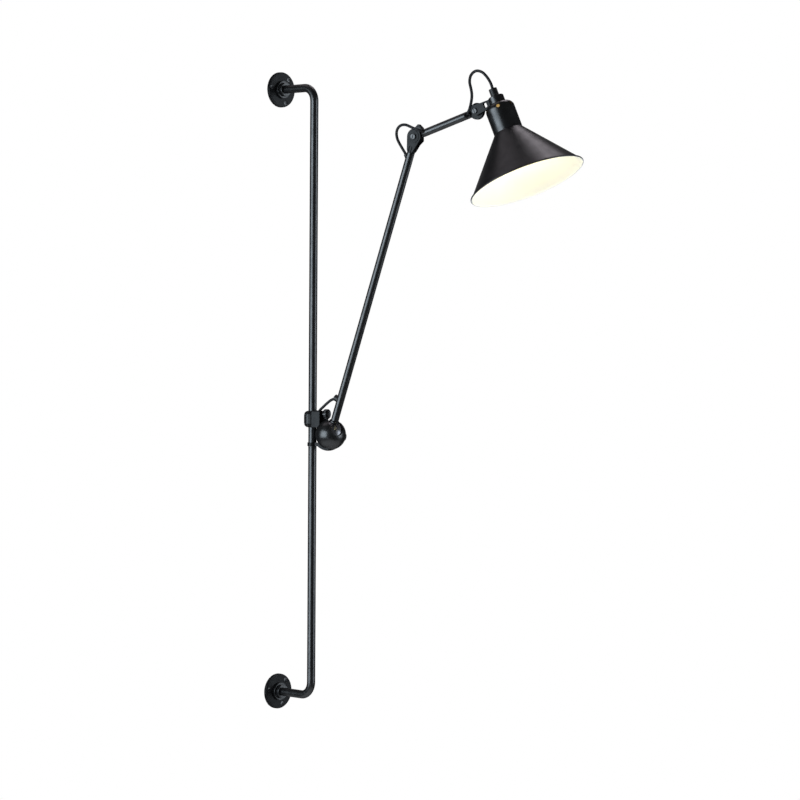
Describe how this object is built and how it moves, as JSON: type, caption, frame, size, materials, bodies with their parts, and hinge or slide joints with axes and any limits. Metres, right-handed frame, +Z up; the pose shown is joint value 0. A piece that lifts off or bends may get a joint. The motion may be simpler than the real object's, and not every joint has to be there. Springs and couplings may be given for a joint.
{
  "type": "accordion wall lamp",
  "caption": "Black wall lamp: a conical shade on a jointed swing arm, carried by a ball and a clamp that slide and turn on a long vertical bar held off the wall by round plates",
  "frame": {"origin": "centre of the upper wall plate's back face, in the plane of the wall", "axes": "+Z up, +Y into the wall, the room on the -Y side; at rest the arms swing out 11 degrees from -Y towards +X"},
  "size_m": [0.2207, 0.6279, 1.164],
  "materials": {
    "black_metal": "satin black powder coat, white inside the shade",
    "black_hardware": "semi-gloss black",
    "dark_steel": "turned, dark",
    "knob_black": "moulded, semi-gloss",
    "bearing_plastic": "matt",
    "gland_black": "matt",
    "cable_black": "matt sheath",
    "holder_ceramic": "glazed, off-white",
    "contact_brass": "plain",
    "bulb_cap_metal": "plain",
    "bulb_glass": "frosted, warm glow"
  },
  "bodies": {
    "wall_bar": {"upper_wall_plate": "black_metal", "upper_plate_hub": "black_metal", "upper_hub_screw": "black_hardware", "upper_bent_tube": "black_metal", "upper_joint_spigot": "dark_steel", "straight_bar": "black_metal", "lower_joint_spigot": "dark_steel", "lower_bent_tube": "black_metal", "lower_wall_plate": "black_metal", "lower_plate_hub": "black_metal", "lower_hub_screw": "black_hardware"},
    "slider": {"guide_bush": "bearing_plastic"},
    "carriage": {"clamp_rear_half": "black_metal", "clamp_screws": "black_hardware", "carriage_bracket": "black_metal", "housing_screws": "black_hardware", "supply_inlet": "gland_black", "bracket_grommet": "gland_black", "lower_guide_ring": "black_metal", "ball_near_half": "black_metal", "ball_far_half": "black_metal", "pivot_bolt": "black_hardware", "base_cable": "cable_black"},
    "knob": {"clamp_knob": "knob_black", "clamp_knob_screw": "black_hardware"},
    "lower_arm": {"friction_ball": "dark_steel", "foot_collar": "black_metal", "lower_arm_tube": "black_metal", "base_cable_ferrule": "gland_black", "lower_elbow_ferrule": "gland_black", "elbow_fork": "black_metal", "elbow_bolt": "black_hardware", "lever_washer": "black_hardware", "elbow_cable": "cable_black"},
    "lever_nut": {"elbow_lever_nut": "knob_black"},
    "upper_arm": {"elbow_tongue": "black_metal", "friction_washers": "bearing_plastic", "upper_arm_tube": "black_metal", "upper_elbow_ferrule": "gland_black", "head_cable_ferrule": "gland_black", "head_eye": "black_metal", "head_cable": "cable_black"},
    "head": {"head_stirrup": "black_metal", "head_bolt": "black_hardware", "head_washer": "bearing_plastic", "neck_cover": "black_metal", "head_cap": "black_metal", "threaded_nipple": "dark_steel", "cable_gland": "gland_black", "lamp_holder": "holder_ceramic", "holder_contact": "contact_brass", "shade": "black_metal", "shade_ring": "black_hardware", "bulb_cap": "bulb_cap_metal", "bulb_glass": "bulb_glass"},
    "round_nut": {"head_round_nut": "knob_black"}
  },
  "joints": [
    {"name": "carriage_height", "type": "slide", "parent": "wall_bar", "child": "slider", "axis": [0, 0, 1], "range_m": [-0.38, 0.5]},
    {"name": "carriage_swivel", "type": "hinge", "parent": "slider", "child": "carriage", "pos_m": [0, -0.091, -0.598], "axis": [0, 0, 1], "range_deg": [-50, 64]},
    {"name": "base_tilt", "type": "hinge", "parent": "carriage", "child": "lower_arm", "pos_m": [0.00773, -0.13076, -0.6247], "axis": [0.9004, -0.3922, -0.1884], "range_deg": [-10, 52], "deforming": ["base_cable"]},
    {"name": "elbow", "type": "hinge", "parent": "lower_arm", "child": "upper_arm", "pos_m": [0.0419, -0.30657, -0.09524], "axis": [0.9816, 0.1908, 0], "range_deg": [-50, 35], "deforming": ["elbow_cable"]},
    {"name": "head_tilt", "type": "hinge", "parent": "upper_arm", "child": "head", "pos_m": [0.06648, -0.43303, -0.05487], "axis": [0.9816, 0.1908, 0], "range_deg": [-60, 25], "deforming": ["head_cable"]},
    {"name": "knob_turn", "type": "hinge", "parent": "carriage", "child": "knob", "pos_m": [0.00515, -0.1175, -0.5884], "axis": [0.1908, -0.9816, 0], "continuous": true},
    {"name": "lever_nut_turn", "type": "hinge", "parent": "lower_arm", "child": "lever_nut", "pos_m": [0.04976, -0.30505, -0.09524], "axis": [0.9816, 0.1908, 0], "continuous": true},
    {"name": "round_nut_turn", "type": "hinge", "parent": "head", "child": "round_nut", "pos_m": [0.07041, -0.43227, -0.05487], "axis": [0.9816, 0.1908, 0], "continuous": true}
  ]
}
